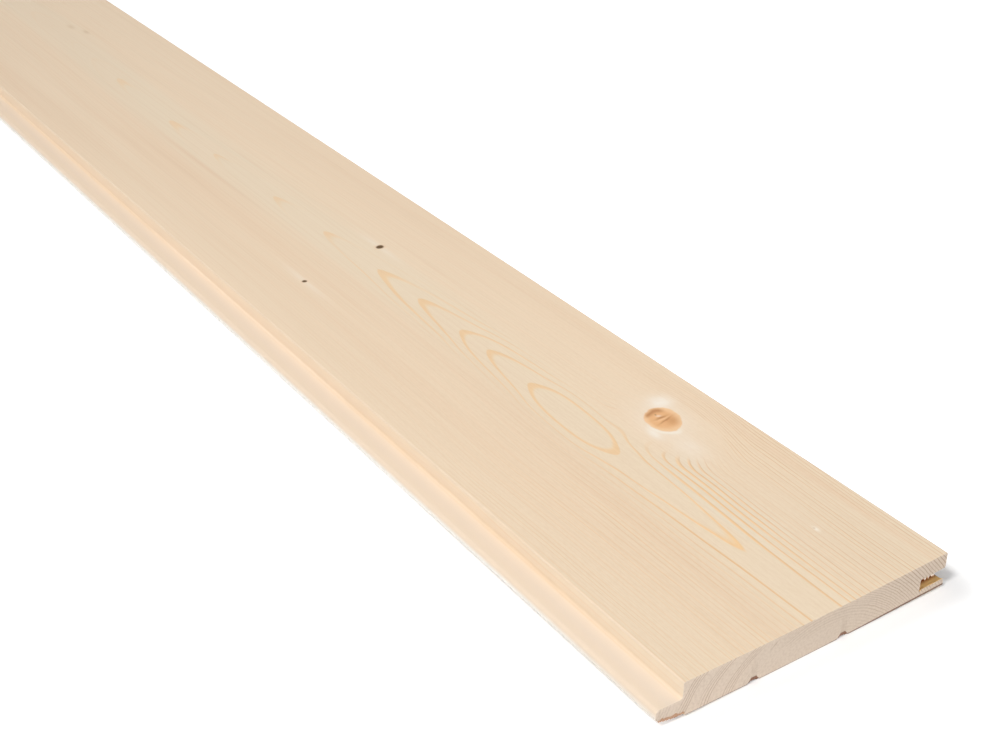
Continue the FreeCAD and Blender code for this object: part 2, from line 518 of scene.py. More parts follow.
    def grain(self, at: Place, rings: Wire, aside: Wire) -> tuple[Socket, Wire, Wire]:
        """Colours the planed wood by its growth rings and fibres.

        Args:
            at: The place in the wood.
            rings: The ring number.
            aside: The distance from the crest line.

        Returns:
            The colour, how much of it is late wood, and the fibre pattern.
        """
        season = rings.apply(Sum.FRACTION)
        first, second, third = at.graph.chance(rings.apply(Sum.FLOOR) + self.ring_seed)
        ending = season.smooth(1, 0.96)
        size = aside.apply(Sum.SIZE)
        tail = at.x.smooth(*self.past_knot) * size.smooth(7, 3.5)
        fan = at.x.smooth(*self.fan_start) * aside.smooth(3.5, 6) * aside.smooth(24, 17)
        fan = fan * at.x.smooth(*self.fan_end).between(0.1, 1)
        onset = first.between(0.58, 0.74) + at.x.smooth(960, 900) * 0.1 + tail * 0.19 - fan * 0.1
        onset = onset.apply(Sum.LEAST, 0.82)
        late = season.smooth(onset, onset + 0.16 - tail * 0.03) * ending
        edge = season.smooth(0.74, 0.92) * ending
        strength = self.ring_strength(at, aside, second, fan)
        fibre = at.noise((0.012, 1.5, 1.5), 3)
        broad = at.noise((0.0022, 0.045, 0.045), 2, 19).smooth(0.35, 0.75)
        grey = at.x.smooth(1080, 1200) * at.y.smooth(10, 45).between(0.25, 0.55)
        crest = size.smooth(17, 8)
        near_crest = at.x.smooth(1090, 1150).between(0.12, 0.45)
        edge_share = crest.between(0.75, near_crest) * (1 - tail) * (1 - fan * 0.25)
        fleck = at.noise((0.09, 2.6, 2.6), 1, 41).smooth(0.7, 0.8)
        fuzz = at.noise((0.4, 1.8, 1.8), 2, 57).smooth(0.35, 0.7) * at.x.smooth(800, 1150)
        face = at.graph.layer(
            self.cream,
            (broad * 0.5, self.blush),
            (grey, self.dull),
            (third * 0.2 + crest * 0.45, self.pale),
            (fan * 0.55, self.fan_pale),
            *((band.cover(at), self.blush) for band in self.bands),
            (late * strength * aside.smooth(14, 26).between(1, 0.45), self.late),
            (edge * strength * edge_share, self.ring_edge),
            (fibre.smooth(0.42, 0.7) * 0.1, self.ring_edge),
            (fleck * 0.12, self.ring_edge),
            (fuzz * 0.1, self.stain),
        )
        return self.edge_tones(at, face), late * strength, fibre

    def ring_strength(self, at: Place, aside: Wire, chance: Wire, fan: Wire) -> Wire:
        """Says how clearly the rings show on each part of the face.

        Args:
            at: The place in the wood.
            aside: The distance from the crest line.
            chance: A chance number for each ring.
            fan: Where the rings fan out past the knot.

        Returns:
            The strength of the rings.
        """
        size = aside.apply(Sum.SIZE)
        lively = at.x.smooth(800, 990)
        vivid = lively.between(0.48, 0.76) + at.x.smooth(*self.past_knot) * 0.22
        vivid = vivid - at.x.smooth(1160, 1190) * 0.12
        loops = size.smooth(lively.between(5.5, 14), lively.between(1.5, 6.5)) * vivid
        loops = loops * aside.smooth(1, 6).between(1, at.x.smooth(930, 1010).between(0.2, 1))
        loops = loops * (1 - size.smooth(0.8, 3) * at.x.smooth(925, 890) * 0.6)
        loops = loops * at.x.smooth(590, 650).between(0.15, 1)
        patchy = at.noise((0.02, 0.12, 0.12), 2, 23).smooth(0.28, 0.64)
        quiet = 1 - (at.y - 36.5).bell(8) * at.x.smooth(1185, 1150).between(0.3, 0.85)
        steady = aside.smooth(5, 14).between(0.24, 0.95) + (at.y + 15).bell(7) * 0.25
        plain = at.x.smooth(1040, 1125) * steady * patchy.between(0.45, 1.3) * quiet + 0.08
        strength = loops.apply(Sum.MOST, plain * (chance * 0.8 + 0.2))
        return strength.apply(Sum.MOST, fan * (chance * 0.3 + 0.75)) * self.far_from_knot(at)

    def edge_tones(self, at: Place, face: Socket) -> Socket:
        """Tints the shoulder, the cove and the tongue beside the face, with painted shade on the rounded
        edges and in the cove and painted light on the nose.

        Args:
            at: The place in the wood.
            face: The colour of the planed wood.

        Returns:
            The colour with its edges.
        """
        inset = at.y - self.shoulder
        near_end = at.x.smooth(*self.near_end)
        beside = inset.smooth(0.3, -0.3)
        wall = beside * at.level.smooth(self.groove_roof, 8)
        # Painted shade mask: the rounded top edge of the shoulder.
        arris = inset.smooth(1, 0.1) * (at.level - self.face_height).smooth(-1, -0.2)
        # Painted shade mask: the cove at the foot of the shoulder, broken up by noise.
        cove = inset.smooth(-1.6, -0.6) * (at.level - self.groove_roof).smooth(1.2, 0.2)
        cove = cove * at.noise((0.008, 0.1, 0.1), 2, 61).smooth(0.3, 0.75)
        # Painted light mask: the outer, lower rounding of the tongue's nose.
        nose = inset.smooth(-9.2, -9.8) * at.level.smooth(6, 3.6)
        return at.graph.layer(
            face,
            (near_end.between(0.55, 0.72) * beside + inset.smooth(-0.3, -2.5) * 0.3, self.sapwood),
            (wall * near_end * 0.6, self.pale),
            (arris * 0.8, self.arris_painted_shade),
            (cove * 0.5, self.cove_painted_shade),
            (inset.smooth(-4.5, -8) * 0.4, self.cream),
            # Painted shade on the rounding before the nose.
            (inset.smooth(-8.4, -9.2) * 0.5, self.arris_painted_shade),
            (nose * at.x.smooth(1200, 1110).between(0.55, 1), self.nose_painted_light),
        )

    def far_from_knot(self, at: Place) -> Wire:
        """Is 0 close to the large knot, where its pale halo hides the rings, and 1 further off."""
        along = (at.x - self.knot.x) / 22
        across = (at.y - self.knot.y) / 11.8
        start = along.smooth(0.2, 0.7) * 0.32
        return (along * along + across * across).apply(Sum.ROOT).smooth(start + 0.85, start + 1.2)

    def end_grain(self, at: Place, rings: Wire) -> Socket:
        """Colours the sawn ends, where the rings show as thin arcs, with painted shade along the bottom
        edge and on the torn fibres under the tongue.

        Args:
            at: The place in the wood.
            rings: The ring number.

        Returns:
            The colour.
        """
        inset = at.y - self.shoulder
        season = rings.apply(Sum.FRACTION)
        second = at.graph.chance(rings.apply(Sum.FLOOR) + self.ring_seed)[1]
        line = season.smooth(0.56, 0.86) * season.smooth(1, 0.93)
        drift = at.noise((0, 0.03, 0.03), 1, 13) - 0.5
        cluster = (rings * 0.86 + drift * 2 + 0.96).apply(Sum.COSINE).smooth(-0.35, 0.30)
        groove_side = at.y.smooth(6, 34) * at.z.smooth(0, 9).between(0.6, 1)
        middle = at.y.smooth(-14, -6) * at.z.smooth(6, 9) * 0.55
        tongue_side = (at.y - at.z * 0.6 + 7.8).smooth(-15, -22) * cluster
        tongue_side = tongue_side * at.y.smooth(-53, -48).between(0.45, 1)
        clear = (groove_side * 0.95).apply(Sum.MOST, middle).apply(Sum.MOST, tongue_side)
        clear = clear * (second * 0.4 + 0.6)
        dust = at.noise((0.5, 1.1, 1.1), 3, 3).smooth(0.35, 0.72)
        tick = (at.y + 14.6 - (at.z - 10.8) * 1.25).bell(0.35) * (at.z - 10.8).bell(1.2)
        thick = at.y.smooth(0, 48).between(0.3, 0.8)
        # Painted shadow with tear-out: a dark strip along the bottom edge, thicker towards the groove side.
        arris = (at.level / thick).smooth(1.25, 0.65) * at.y.smooth(-30, 40).between(0.6, 0.9)
        # Painted shade with torn fibres: a brown strip under a ragged line at the tongue's lower edge on
        # the sawn face.
        rag = at.noise((0, 0.5, 0.1), 1, 17) * 2.4 - inset * 0.155 - 1.9
        ragged = (at.level - self.tongue_rise - rag).smooth(0.12, -0.12)
        ragged = ragged * inset.smooth(0.9, 0.3) * inset.smooth(-9, -8)
        tips = (at.level - self.groove_roof).smooth(0.1, -0.2) * at.level.smooth(3.6, 4.2)
        return at.graph.layer(
            self.end_cream,
            (at.y.smooth(10, -60), self.end_pale),
            (dust * 0.22, self.end_late),
            (line * clear * at.y.smooth(25, 45).between(0.72, 0.85), self.end_late),
            (tick * 0.6, self.end_late),
            (arris, self.torn_and_shadow_dark),
            (ragged * 0.8, self.torn),
            (tips * (at.y - self.groove_back).smooth(-0.1, 0.4), self.fibre_tip),
        )

    def paint_groove_light_and_shade(self, at: Place, colour: object) -> tuple[Socket, Wire]:
        """Paints bounce light into the groove and shade towards its back and roof, darkest a few
        millimetres in from the sawn ends.

        Args:
            at: The place in the wood.
            colour: The colour of the wood.

        Returns:
            The colour with the groove's painted light and shade, and the zone near the ends where they are
            strongest.
        """
        deep = at.y.smooth(self.groove_mouth + 1, self.groove_back)
        above = at.level.smooth(self.groove_floor - 0.5, self.groove_floor - 0.1)
        under = at.level.smooth(self.groove_roof + 0.4, self.groove_roof + 0.1)
        inside = at.y.smooth(self.groove_back - 0.4, self.groove_back - 0.1) * above * under
        high = at.level.smooth(self.groove_floor + 0.6, self.groove_roof - 0.8)
        inward = self.half_length - at.x.apply(Sum.SIZE)
        # The zone within about 30 mm of each sawn end, where the groove's painted light and shade are
        # strongest.
        groove_paint_zone = inward.smooth(30, 12)
        far_in = inward.smooth(1.1, 3.9) * groove_paint_zone
        # Painted bounce light over the whole inside of the groove, strongest near the sawn ends.
        colour = at.graph.blend(inside * groove_paint_zone.between(0.35, 0.9), colour, self.groove_painted_glow)
        # Painted shade towards the groove's back and roof, darkest a few millimetres in from the sawn ends.
        dark = inside * (deep * 0.1 + high * 0.3).apply(Sum.MOST, far_in * 0.98)
        return at.graph.blend(dark, colour, self.groove_painted_shade), inside * groove_paint_zone

    def paint_torn_shade(self, at: Place, colour: object) -> Socket:
        """Paints shade on the torn fibres under the tongue and in the relief grooves near the sawn ends.

        Args:
            at: The place in the wood.
            colour: The colour of the wood.

        Returns:
            The colour with painted shade on the torn fibres and in the relief grooves.
        """
        close = at.x.apply(Sum.SIZE).smooth(self.half_length - 3.5, self.half_length - 1)
        # Painted shade on the tongue's underside and its hanging fibres near the sawn ends.
        tongue = at.level.smooth(self.tongue_rise + 0.2, self.tongue_rise)
        tongue = tongue * at.y.smooth(self.shoulder + 1.2, self.shoulder + 0.8)
        colour = at.graph.blend(close * tongue * 0.8, colour, self.torn)
        # Painted shade in each relief groove near the sawn ends.
        for middle in self.relief_middles:
            notch_shade = (at.y - middle).apply(Sum.SIZE).smooth(2.8, 2.4) * at.level.smooth(2.3, 2.1)
            colour = at.graph.blend(close * notch_shade * 0.95, colour, self.notch_painted_shade)
        return colour

    def knots(self, at: Place, colour: object) -> tuple[Socket, Wire]:
        """Paints the knots into the wood.

        Args:
            at: The place in the wood.
            colour: The colour of the wood round them.

        Returns:
            The colour with the knots, and where the hard knot wood is.
        """
        layer = at.graph.layer
        knot = self.knot
        depth = at.z - self.face_height
        ragged = at.noise((0.35, 0.35, 0.2), 2, 5) - 0.5
        dot = (at.x - self.speck.x + 0.7).bell(0.5) * (at.y - self.speck.y + 0.2).bell(0.4)
        colour = layer(
            colour,
            *((patch.cover(at) * (ragged * 0.7 + 0.95), self.halo) for patch in self.halos),
            *((stain.cover(at), self.stain) for stain in self.stains),
            (self.speck.cover(at), self.halo),
            (dot * 0.6, self.stain),
        )
        along = at.x - knot.x - depth * knot.lean_x
        across = at.y - knot.y - depth * knot.lean_y
        turn = math.radians(knot.turn)
        major = (along * math.cos(turn) + across * math.sin(turn)) / (knot.length / 2)
        minor = (across * math.cos(turn) - along * math.sin(turn)) / (knot.width / 2)
        size = depth / (self.heart_depth * 1.2) + 1
        reach = (major * major + minor * minor).apply(Sum.ROOT) / size + ragged * 0.16
        reach = reach + (major - minor).smooth(0.5, 1.5) * 0.24
        inside = reach.smooth(1.05, 0.95)
        off = major + 0.47
        lift = minor + 0.22
        core = (off * off + lift * lift).apply(Sum.ROOT) + ragged * 0.16
        stroke = (along + 1.8 + ragged * 1.2).bell(0.55) * (across - 0.6).bell(2.4)
        stripe = (along + 0.7 + ragged).bell(0.5) * (across - 0.8).bell(3)
        lower = (along - 0.6 + (across - 0.8) * 0.26 + ragged).bell(0.5) * (across - 0.8).bell(3.2)
        crescent = (reach - 0.78).bell(0.15) * major.smooth(-0.2, -0.55) * minor.smooth(0.5, 0)
        wood = layer(
            self.knot_wood,
            (reach.smooth(0.55, 1), self.knot_rim),
            (major.smooth(0.35, 0.95) * 0.7, self.knot_rim),
            ((major - 0.12).bell(0.38) * (minor - 0.48).bell(0.4) * 0.45, self.knot_dark),
            (stripe * 0.7, self.knot_rim),
            (stroke * 0.8, self.knot_dark),
            (lower * 0.7, self.knot_dark),
            (crescent * 0.8, self.knot_dark),
            (core.smooth(0.12, 0.05) * 0.45, self.pin_dark),
            ((off - 0.12).bell(0.07) * (lift - 0.12).bell(0.14) * 0.5, self.halo),
        )
        ring = (reach - 1.15).bell(0.14) * major.smooth(0.1, 0.6) * minor.smooth(0.85, 0.4)
        colour = layer(colour, (ring * 0.8, self.halo), (inside, wood))
        for pin in self.pins:
            pin_along = at.x - pin.x
            pin_across = at.y - pin.y - depth * pin.lean_y
            oval = pin_along / (pin.length / 2)
            height = pin_across / (pin.width / 2)
            spot = (oval * oval + height * height).apply(Sum.ROOT) + ragged * 0.5
            colour = layer(
                colour,
                (pin_along.bell(16) * pin_across.bell(1.6) * 0.35, self.halo),
                (spot.smooth(1.6, 0.8) * 0.3, self.knot_wood),
                (spot.smooth(1.05, 0.6), self.pin_dark),
            )
        return colour, inside


@dataclass(frozen=True)
class Corner:
    """One corner of the section, with the radius that rounds it."""

    y: float
    z: float
    radius: float = 0.0


@dataclass
class Splinters:
    """A seeded row of torn fibres across the board."""

    seed: int
    start: float
    end: float
    hang: float
    pitch: float
    matted: float = 0.0
    lean: float = 1.0
    teeth: list = field(default_factory=list)

    def __post_init__(self) -> None:
        """Draws the place, width and hang of each fibre."""
        draw = random.Random(self.seed)
        place = self.start
        while place < self.end:
            place += self.pitch * draw.uniform(0.5, 1.5)
            half = self.pitch * draw.uniform(0.4, 0.7)
            self.teeth.append((place, half, self.hang * draw.uniform(0.45, 1)))

    def at(self, y: float) -> float:
        """Says how far the fibres hang at one place.

        Args:
            y: Place across the board.

        Returns:
            The hang in metres.
        """
        if not self.start < y < self.end:
            return 0
        hangs = [hang * max(0, 1 - abs(y - place) / half) for place, half, hang in self.teeth]
        ramp = min(1, self.lean + 1.1 * (y - self.start) / (self.end - self.start))
        return self.matted * self.hang * ramp + (1 - self.matted) * max(hangs, default=0)


@dataclass
class GroovedBoard:
    """The board: tongue on the -Y edge, groove on the +Y edge, two relief grooves in the back.

    Sizes are in metres and repeat the solid's own, whose box gives the rest.
    """

    low: Vector
    high: Vector
    tongue_length: float = 10.0 * MM
    tongue_thickness: float = 4.3 * MM
    tongue_rise: float = 2.45 * MM
    joint_clearance: float = 0.25 * MM
    nose_clearance: float = 1.2 * MM
    back_setback: float = 1.0 * MM
    relief_inset: float = 28.0 * MM
    relief_pitch: float = 37.0 * MM
    relief_mouth: float = 5.0 * MM
    relief_floor: float = 2.0 * MM
    relief_depth: float = 2.0 * MM
    shoulder_radius: float = 0.7 * MM
    lip_radius: float = 0.5 * MM
    nose_radius: float = 1.5 * MM
    groove_radius: float = 0.5 * MM
    mouth_radius: float = 0.75 * MM
    back_radius: float = 0.4 * MM
    saw_chamfer: float = 0.12 * MM
    cup: float = 0.85 * MM
    fine_cut: float = 0.25 * MM
    broad_cut: float = 4.0 * MM
    fibre_reach: float = 2.8 * MM
    lip_reach: float = 1.2 * MM
    close: float = 0.02 * MM
    arc_step: float = 0.25 * MM
    end_zone: float = 100.0 * MM
    end_cuts: tuple = (0.35, 0.7, 1.2, 1.9, 2.8, 6, 20, 60)
    long_cuts: int = 8
    sharp_angle: float = 33.0

    def __post_init__(self) -> None:
        """Works out the places that several methods share."""
        self.shoulder = self.low.y + self.tongue_length
        self.back_shoulder = self.shoulder + self.back_setback
        self.tongue_top = self.tongue_rise + self.tongue_thickness
        self.groove_floor = self.tongue_rise - self.joint_clearance
        self.groove_roof = self.tongue_top + self.joint_clearance
        self.groove_back = self.high.y - self.tongue_length - self.nose_clearance
        first = self.shoulder + self.relief_inset
        self.relief_middles = (first, first + self.relief_pitch)

    def corners(self) -> list[Corner]:
        """Lists the section's corners, from the back's tongue side round by the groove and the face.

        Returns:
            The corners in order.
        """
        low = self.low.z
        found = [Corner(self.back_shoulder, low, self.back_radius)]
        for middle in self.relief_middles:
            mouth, floor = self.relief_mouth / 2, self.relief_floor / 2
            found.append(Corner(middle - mouth, low))
            found.append(Corner(middle - floor, low + self.relief_depth))
            found.append(Corner(middle + floor, low + self.relief_depth))
            found.append(Corner(middle + mouth, low))
        return found + [
            Corner(self.high.y, low, self.back_radius),
            Corner(self.high.y, self.groove_floor, self.mouth_radius),
            Corner(self.groove_back, self.groove_floor, self.groove_radius),
            Corner(self.groove_back, self.groove_roof, self.groove_radius),
            Corner(self.high.y, self.groove_roof, self.mouth_radius),
            Corner(self.high.y, self.high.z, self.lip_radius),
            Corner(self.shoulder, self.high.z, self.shoulder_radius),
            Corner(self.shoulder, self.tongue_top, self.mouth_radius + self.joint_clearance),
            Corner(self.low.y, self.tongue_top, self.nose_radius),
            Corner(self.low.y, self.tongue_rise, self.nose_radius),
            Corner(self.back_shoulder, self.tongue_rise),
        ]

    def build(self, wood: bpy.types.Material) -> bpy.types.Object:
        """Makes the board and dresses it.

        Args:
            wood: The board's finish.

        Returns:
            The board, riding on its body in place of the solid.
        """
        mesh_work = self.extrude_section()
        self.round_long_edges(mesh_work)
        self.break_sawn_edges(mesh_work)
        self.cut_across(mesh_work)
        profile = self.walk_profile(mesh_work)
        self.cut_along(mesh_work)
        self.lay_out_bake_map(mesh_work, profile)
        self.tear_fibres(mesh_work)
        self.cup_board(mesh_work)
        mesh = bpy.data.meshes.new("tongue_and_groove_board")
        mesh_work.to_mesh(mesh)
        mesh_work.free()
        for polygon in mesh.polygons:
            polygon.use_smooth = True
        mesh.set_sharp_from_angle(angle=math.radians(self.sharp_angle))
        mesh.materials.append(wood)
        board = bpy.data.objects.new("tongue_and_groove_board", mesh)
        bpy.context.scene.collection.objects.link(board)
        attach(board, BODY)
        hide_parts(BOARD_NODE)
        return board

    def extrude_section(self) -> Solid:
        """Extrudes the section with square corners to the board's length.

        Returns:
            The closed solid.
        """
        work = bmesh.new()
        rim = [work.verts.new((self.low.x, corner.y, corner.z)) for corner in self.corners()]
        face = work.faces.new(rim)
        made = bmesh.ops.extrude_face_region(work, geom=[face])
        moved = [item for item in made["geom"] if isinstance(item, bmesh.types.BMVert)]
        bmesh.ops.translate(work, verts=moved, vec=(self.high.x - self.low.x, 0, 0))
        bmesh.ops.recalc_face_normals(work, faces=work.faces[:])
        return work

    def round_long_edges(self, work: Solid) -> None:
        """Rounds the edges along the board with the section's radii."""
        for corner in self.corners():
            if corner.radius == 0:
                continue
            edges = [edge for edge in work.edges if self.runs_along(edge, corner)]
            steps = max(3, math.ceil(corner.radius / self.arc_step))
            bmesh.ops.bevel(
                work, geom=edges, offset=corner.radius, offset_type="OFFSET", segments=steps,
                profile=0.5, affect="EDGES", clamp_overlap=False, material=-1,
            )

    def runs_along(self, edge: bmesh.types.BMEdge, corner: Corner) -> bool:
        """Says whether an edge is the long one at a corner of the section."""
        start, end = (vert.co for vert in edge.verts)
        near = all(math.hypot(co.y - corner.y, co.z - corner.z) < 0.01 * MM for co in (start, end))
        return near and abs(start.x - end.x) > MM

    def break_sawn_edges(self, work: Solid) -> None:
        """Takes the sharpness off the rim of both sawn ends."""
        ends = [face for face in work.faces if abs(face.normal.x) > 0.9]
        rim = {edge for face in ends for edge in face.edges}
        bmesh.ops.bevel(
            work, geom=list(rim), offset=self.saw_chamfer, offset_type="OFFSET", segments=1,
            profile=0.5, affect="EDGES", clamp_overlap=False, material=-1,
        )

    def cut(self, work: Solid, place: Vector, normal: Vector) -> None:
        """Cuts all faces along one plane, given by a point and its normal, and keeps both sides."""
        everything = work.verts[:] + work.edges[:] + work.faces[:]
        bmesh.ops.bisect_plane(work, geom=everything, dist=1e-6, plane_co=place, plane_no=normal)

    def cut_across(self, work: Solid) -> None:
        """Cuts the board into lengthwise strips, fine where fibres are torn."""
        fine = [(self.groove_back, self.high.y), (self.low.y, self.back_shoulder)]
        half = self.relief_mouth / 2
        fine += [(middle - half, middle + half) for middle in self.relief_middles]
        places = []
        for start, end in fine:
            count = round((end - start) / self.fine_cut)
            places += [start + (end - start) * step / count for step in range(1, count)]
        count = round((self.high.y - self.low.y) / self.broad_cut)
        for step in range(1, count):
            place = self.low.y + (self.high.y - self.low.y) * step / count
            if not any(start < place < end for start, end in fine):
                places.append(place)
        for place in places:
            self.cut(work, Vector((0, place, 0)), Vector((0, 1, 0)))

    def cut_along(self, work: Solid) -> None:
        """Cuts the board into lengths, short ones near the sawn ends."""
        steps = [step * MM for step in self.end_cuts]
        places = [self.high.x - step for step in steps] + [self.low.x + step for step in steps]
        reach = self.high.x - self.end_zone
        places += [reach * share / self.long_cuts for share in range(-self.long_cuts, self.long_cuts + 1)]
        for place in places:
            self.cut(work, Vector((place, 0, 0)), Vector((1, 0, 0)))

    def key(self, co: Vector) -> Spot:
        """Names a point of the section by whole tenths of a micrometre."""
        return round(co.y * 1e7), round(co.z * 1e7)

    def walk_profile(self, work: Solid) -> dict[Spot, float]:
        """Measures the way round the section, from the foot of the shoulder over the face.

        Args:
            work: The board, before it is cut into lengths.

        Returns:
            The distance to each point of the section.
        """
        ring = [vert for vert in work.verts if vert.co.x > 0]
        inner = min(vert.co.x for vert in ring)
        rim = {vert for vert in ring if vert.co.x < inner + 1e-6}
        foot = Vector((inner, self.shoulder, self.tongue_top + self.mouth_radius + self.joint_clearance))
        here = min(rim, key=lambda vert: (vert.co - foot).length)
        ways = {vert: [edge.other_vert(vert) for edge in vert.link_edges] for vert in rim}
        ways = {vert: [other for other in found if other in rim] for vert, found in ways.items()}
        following = max(ways[here], key=lambda vert: vert.co.z)
        walked = {self.key(here.co): 0}
        gone = 0
        while True:
            gone += (following.co - here.co).length
            if self.key(following.co) in walked:
                break
            walked[self.key(following.co)] = gone
            ahead = [vert for vert in ways[following] if vert is not here]
            here, following = following, ahead[0]
        walked[(0, 0)] = gone
        return walked

    def lay_out_bake_map(self, work: Solid, profile: dict[Spot, float]) -> None:
        """Lays the board out flat in its OFBake map: the face in two long strips, then edges, back and
        ends.

        Args:
            work: The board, still straight.
            profile: The distance round the section to each of its points.
        """
        layer = work.loops.layers.uv.new("OFBake")
        total = profile[(0, 0)]
        mouth = self.way_to(profile, self.high.y, self.groove_roof + self.mouth_radius)
        lower = self.way_to(profile, self.high.y, self.groove_floor - self.mouth_radius)
        root = self.way_to(profile, self.back_shoulder, self.tongue_rise)
        gap = 0.008
        rows = {"near": 0.292, "far": 0.292, "back": 0.186, "tongue": 0.064, "groove": 0.052, "ends": 0.050}
        bottoms = {}
        level = gap
        for name, height in rows.items():
            bottoms[name] = level
            level += height + gap
        spans = {"near": (0, mouth), "far": (0, mouth), "groove": (mouth, lower)}
        spans |= {"back": (lower, root), "tongue": (root, total)}
        width = self.high.y - self.low.y
        for face in work.faces:
            middle = face.calc_center_median()
            if abs(face.normal.x) > 0.3:
                side = 0 if middle.x > 0 else 0.5
                for loop in face.loops:
                    across = (loop.vert.co.y - self.low.y) / width
                    up = loop.vert.co.z / (self.high.z - self.low.z)
                    loop[layer].uv = (side + 0.01 + 0.48 * across, bottoms["ends"] + rows["ends"] * up)
                continue
            places = [profile[self.key(loop.vert.co)] for loop in face.loops]
            if max(places) - min(places) > total / 2:
                places = [place if place > total / 2 else place + total for place in places]
            centre = sum(places) / len(places)
            name = next(n for n, (start, end) in spans.items() if start <= centre <= end)
            if name == "near" and middle.x < 0:
                name = "far"
            start, end = spans[name]
            first = 0 if name == "near" else self.low.x
            last = 0 if name == "far" else self.high.x
            for loop, place in zip(face.loops, places):
                along = (loop.vert.co.x - first) / (last - first)
                up = (place - start) / (end - start)
                loop[layer].uv = (gap + (1 - 2 * gap) * along, bottoms[name] + rows[name] * up)

    def way_to(self, profile: dict[Spot, float], y: float, z: float) -> float:
        """Gives the distance round the section to its point nearest a place."""
        points = [key for key in profile if key != (0, 0)]
        return profile[min(points, key=lambda key: math.hypot(key[0] * 1e-7 - y, key[1] * 1e-7 - z))]

    def tear_fibres(self, work: Solid) -> None:
        """Hangs torn fibres from the edges that the saw left ragged at both ends."""
        for end, seed, share in ((self.high.x, 20, 1), (self.low.x, 50, 0.6)):
            back = self.groove_back
            half = self.relief_mouth / 2
            roof = Splinters(seed, back + 0.4 * MM, back + 6 * MM, 1.5 * MM, 1.1 * MM)
            nose = self.low.y + 1.2 * MM
            under = Splinters(seed + 1, nose, self.back_shoulder, 2.3 * MM, 0.7 * MM, 0.75, 0.35)
            reliefs = [
                Splinters(seed + 2 + n, middle - half, middle + half, 2.2 * MM, 0.7 * MM, 0.85)
                for n, middle in enumerate(self.relief_middles)
            ]
            lip = Splinters(seed + 5, back + 0.6 * MM, self.high.y, 0.7 * MM, 0.6 * MM, 0.75)
            for vert in work.verts:
                co = vert.co
                inward = abs(end - co.x)
                if inward >= self.fibre_reach:
                    continue
                tip = (1 - inward / self.fibre_reach) * share
                if abs(co.z - self.groove_roof) < self.close and co.y > back:
                    co.z -= roof.at(co.y) * tip
                elif abs(co.z - self.groove_floor + 3 * self.close) < 4 * self.close and co.y > back:
                    co.z += lip.at(co.y) * max(0, 1 - inward / self.lip_reach) * share
                elif abs(co.z - self.tongue_rise) < self.close and co.y < self.back_shoulder:
                    root = (co.y - self.low.y) / (self.back_shoulder - self.low.y)
                    co.z -= under.at(co.y) * self.tuft(inward, 0.05 + 0.55 * root) * share
                elif self.close < co.z - self.low.z < self.relief_depth + self.close:
                    hang = sum(relief.at(co.y) for relief in reliefs) * self.tuft(inward, 0.04) * share
                    co.z = max(self.low.z + 0.03 * MM, co.z - hang) if hang else co.z

    def tuft(self, inward: float, sawn: float) -> float:
        """Gives a fibre's share of its hang: sawn at the sawn face, and most a little way in."""
        rise = min(1, max(sawn, sawn + (inward - 0.15 * MM) / (0.25 * MM)))
        return rise * (1 - inward / self.fibre_reach) ** 0.5

    def cup_board(self, work: Solid) -> None:
        """Lifts both edges a little, as a board dries with its heart side down."""
        middle = (self.low.y + self.high.y) / 2
        half = (self.high.y - self.low.y) / 2
        for vert in work.verts:
            vert.co.z += self.cup * ((vert.co.y - middle) / half) ** 2


@dataclass(frozen=True)
class Softbox:
    """A square lamp: its name, place and side in metres, power in watts, target and beam in degrees."""

    name: str
    place: tuple
    size: float
    power: float
    target: tuple = (1.15, 0, 0)
    beam: float = 180.0


